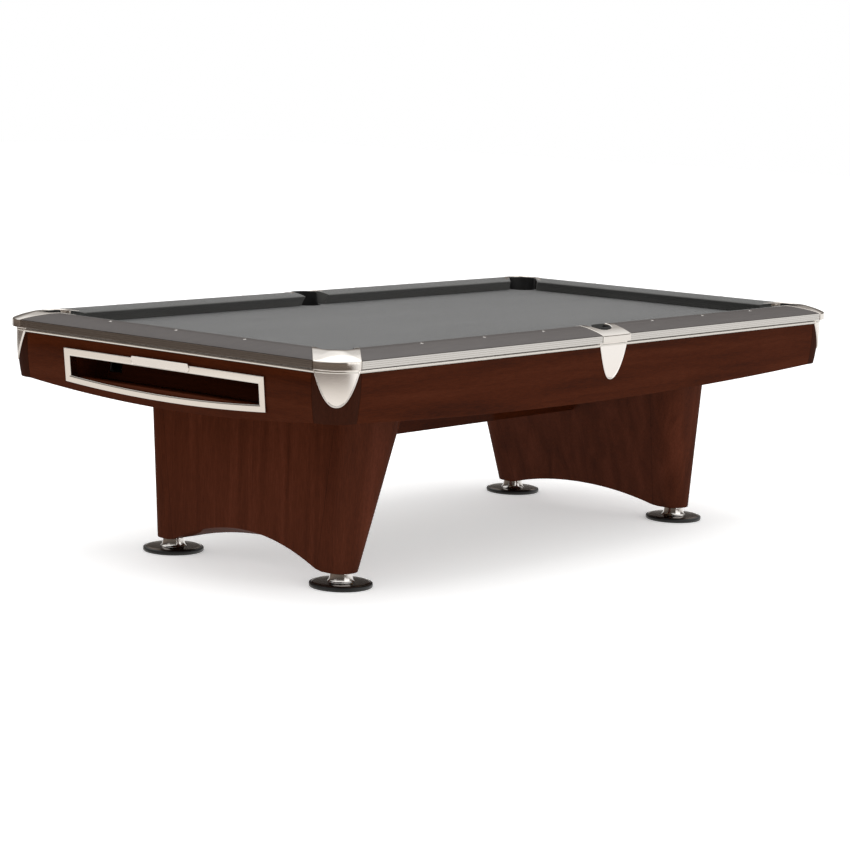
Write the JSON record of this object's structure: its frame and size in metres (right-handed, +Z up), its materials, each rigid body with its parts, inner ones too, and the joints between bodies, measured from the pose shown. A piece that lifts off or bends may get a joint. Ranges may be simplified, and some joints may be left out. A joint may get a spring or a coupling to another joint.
{
  "type": "pool table",
  "caption": "Slate-bed pool table with a ball return: cushioned rails, metal pocket caps, curved wooden cabinet and pedestals on levelling feet.",
  "frame": {"origin": "on the floor, under the centre of the table", "axes": "+Z up, +X along the table towards the head end, away from the ball box; +Y across it, to the left seen from the foot end"},
  "size_m": [2.8696, 1.6, 0.8504],
  "materials": {
    "slate": "honed grey slate",
    "cloth": "fine worsted grey cloth",
    "cushion_cloth": "fine worsted grey cloth stretched over rubber",
    "laminate": "brown-grey satin laminate",
    "trim": "ribbed anodised extrusion",
    "casting": "satin nickel plated casting",
    "wood": "satin lacquered dark mahogany veneer",
    "plain_timber": "planed softwood",
    "black_plastic": "matt black plastic",
    "black_rubber": "moulded black rubber",
    "chromed_steel": "polished chrome"
  },
  "bodies": {
    "table": {"slate_foot": "slate", "slate_middle": "slate", "slate_head": "slate", "bed_cloth": "cloth", "rail_left_foot": "laminate", "rail_left_head": "laminate", "rail_foot": "laminate", "rail_right_foot": "laminate", "rail_right_head": "laminate", "rail_head": "laminate", "cushion_left_foot": "cushion_cloth", "cushion_left_head": "cushion_cloth", "cushion_foot": "cushion_cloth", "cushion_right_foot": "cushion_cloth", "cushion_right_head": "cushion_cloth", "cushion_head": "cushion_cloth", "trim_left": "trim", "trim_foot": "trim", "trim_right": "trim", "trim_head": "trim", "corner_cap_foot_left": "casting", "corner_cap_foot_right": "casting", "corner_cap_head_left": "casting", "corner_cap_head_right": "casting", "side_cap_left": "casting", "side_cap_right": "casting", "apron_left": "wood", "apron_foot": "wood", "apron_right": "wood", "apron_head": "wood", "corner_block_foot_left": "wood", "corner_shield_foot_left": "casting", "corner_block_foot_right": "wood", "corner_shield_foot_right": "casting", "corner_block_head_left": "wood", "corner_shield_head_left": "casting", "corner_block_head_right": "wood", "corner_shield_head_right": "casting", "side_shield_left": "casting", "side_shield_right": "casting", "ball_box_frame": "casting", "ball_box": "wood", "ball_trough": "black_plastic", "pocket_liner_foot_left": "black_rubber", "pocket_liner_foot_right": "black_rubber", "pocket_liner_head_left": "black_rubber", "pocket_liner_head_right": "black_rubber", "pocket_liner_side_left": "black_rubber", "pocket_liner_side_right": "black_rubber", "support_frame": "plain_timber", "pedestal_foot": "wood", "pedestal_head": "wood"},
    "pad_foot_left": {"foot_pad_foot_left": "black_rubber"},
    "screw_foot_left": {"foot_screw_foot_left": "chromed_steel"},
    "pad_foot_right": {"foot_pad_foot_right": "black_rubber"},
    "screw_foot_right": {"foot_screw_foot_right": "chromed_steel"},
    "pad_head_left": {"foot_pad_head_left": "black_rubber"},
    "screw_head_left": {"foot_screw_head_left": "chromed_steel"},
    "pad_head_right": {"foot_pad_head_right": "black_rubber"},
    "screw_head_right": {"foot_screw_head_right": "chromed_steel"}
  },
  "joints": [
    {"name": "level_foot_left", "type": "slide", "parent": "table", "child": "pad_foot_left", "axis": [0, 0, -1], "range_m": [0, 0.024]},
    {"name": "turn_foot_left", "type": "hinge", "parent": "pad_foot_left", "child": "screw_foot_left", "pos_m": [-0.9625, 0.404, 0.05], "axis": [0, 0, -1], "range_deg": [0, 2880]},
    {"name": "level_foot_right", "type": "slide", "parent": "table", "child": "pad_foot_right", "axis": [0, 0, -1], "range_m": [0, 0.024]},
    {"name": "turn_foot_right", "type": "hinge", "parent": "pad_foot_right", "child": "screw_foot_right", "pos_m": [-0.9625, -0.404, 0.05], "axis": [0, 0, -1], "range_deg": [0, 2880]},
    {"name": "level_head_left", "type": "slide", "parent": "table", "child": "pad_head_left", "axis": [0, 0, -1], "range_m": [0, 0.024]},
    {"name": "turn_head_left", "type": "hinge", "parent": "pad_head_left", "child": "screw_head_left", "pos_m": [0.9625, 0.404, 0.05], "axis": [0, 0, -1], "range_deg": [0, 2880]},
    {"name": "level_head_right", "type": "slide", "parent": "table", "child": "pad_head_right", "axis": [0, 0, -1], "range_m": [0, 0.024]},
    {"name": "turn_head_right", "type": "hinge", "parent": "pad_head_right", "child": "screw_head_right", "pos_m": [0.9625, -0.404, 0.05], "axis": [0, 0, -1], "range_deg": [0, 2880]}
  ],
  "couplings": [
    {"joint": "turn_foot_left", "follows": "level_foot_left", "rad_per_m": 2094.4},
    {"joint": "turn_foot_right", "follows": "level_foot_right", "rad_per_m": 2094.4},
    {"joint": "turn_head_left", "follows": "level_head_left", "rad_per_m": 2094.4},
    {"joint": "turn_head_right", "follows": "level_head_right", "rad_per_m": 2094.4}
  ]
}
